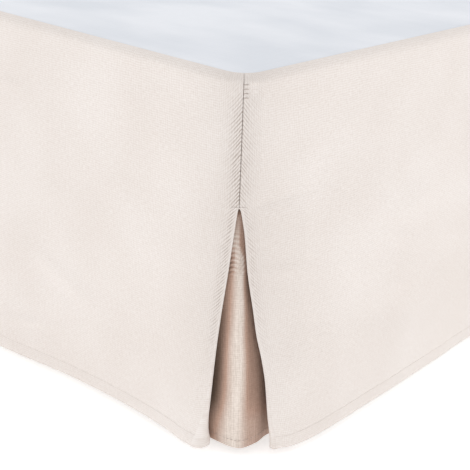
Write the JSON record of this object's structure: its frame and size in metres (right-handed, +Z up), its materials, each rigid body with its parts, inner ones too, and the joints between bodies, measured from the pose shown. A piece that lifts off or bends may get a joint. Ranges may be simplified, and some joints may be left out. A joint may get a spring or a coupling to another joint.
{
  "type": "bed skirt on box spring",
  "caption": "Tailored bed skirt with platform cloth, plain hemmed panels and inverted corner pleats at the foot, hanging on a plain box spring with legs.",
  "frame": {"origin": "on the floor under the middle of the whole object", "axes": "+X towards the right side panel, +Y towards the head of the bed, +Z up"},
  "size_m": [1.596, 2.0682, 0.39],
  "materials": {
    "skirt_cloth": "plain weave with slubs, linen look, matte",
    "platform_cloth": "fine smooth weave, cool white, matte",
    "ticking": "plain woven upholstery, matte",
    "legs": "turned and lacquered, satin"
  },
  "bodies": {
    "root": {"skirt_foot": "skirt_cloth", "skirt_right": "skirt_cloth", "skirt_left": "skirt_cloth", "pleat_insert_right": "skirt_cloth", "pleat_insert_left": "skirt_cloth", "deck": "platform_cloth", "box_spring": "ticking", "leg_foot_left": "legs", "leg_middle_left": "legs", "leg_head_left": "legs", "leg_foot_right": "legs", "leg_middle_right": "legs", "leg_head_right": "legs"}
  },
  "joints": []
}
